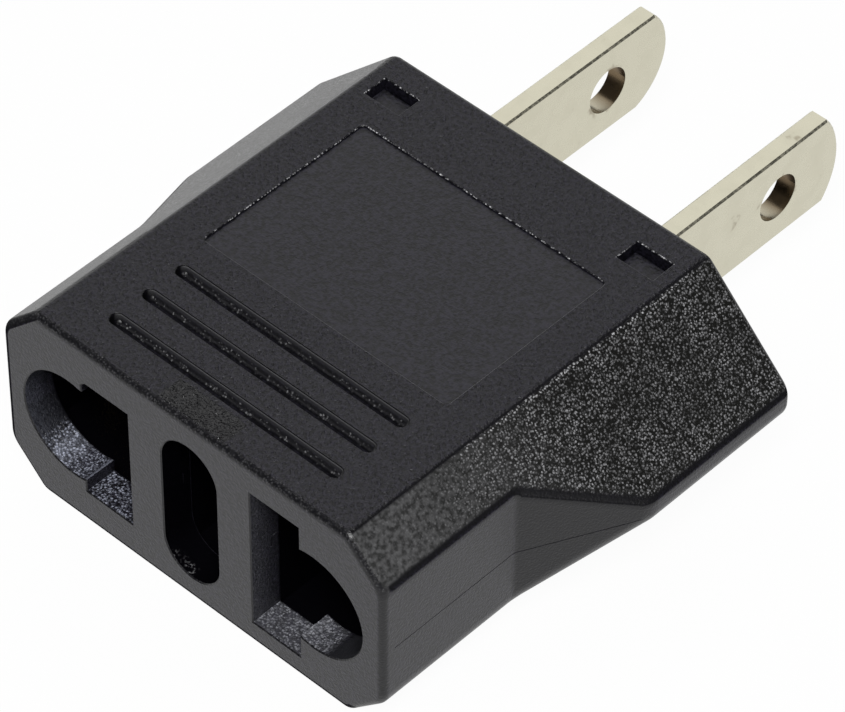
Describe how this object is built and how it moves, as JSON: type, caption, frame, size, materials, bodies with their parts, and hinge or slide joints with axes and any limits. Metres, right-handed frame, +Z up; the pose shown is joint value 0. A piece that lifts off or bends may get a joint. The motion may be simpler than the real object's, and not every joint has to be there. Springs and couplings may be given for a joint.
{
  "type": "travel adapter",
  "caption": "Flat black travel adapter: European and flat-pin socket openings in front, flat blades behind, snapped half shells around sprung contacts.",
  "frame": {"origin": "bottom centre of the whole adapter, on the flat lower face it lies on", "axes": "+Y from the socket face towards the blade tips, +Z up through the grooved top, +X to the right seen from the socket face"},
  "size_m": [0.035, 0.0444, 0.0137],
  "materials": {
    "housing": "fine moulded grain on top, spark-eroded facets, satin walls",
    "blade_plating": "nickel-plated, satin",
    "contact_brass": "bare stamped strip"
  },
  "bodies": {
    "root": {"upper_shell": "housing", "lower_shell": "housing", "blade_left": "blade_plating", "blade_right": "blade_plating", "contact_left": "contact_brass", "contact_right": "contact_brass", "rivet_left": "contact_brass", "rivet_right": "contact_brass"}
  },
  "joints": []
}
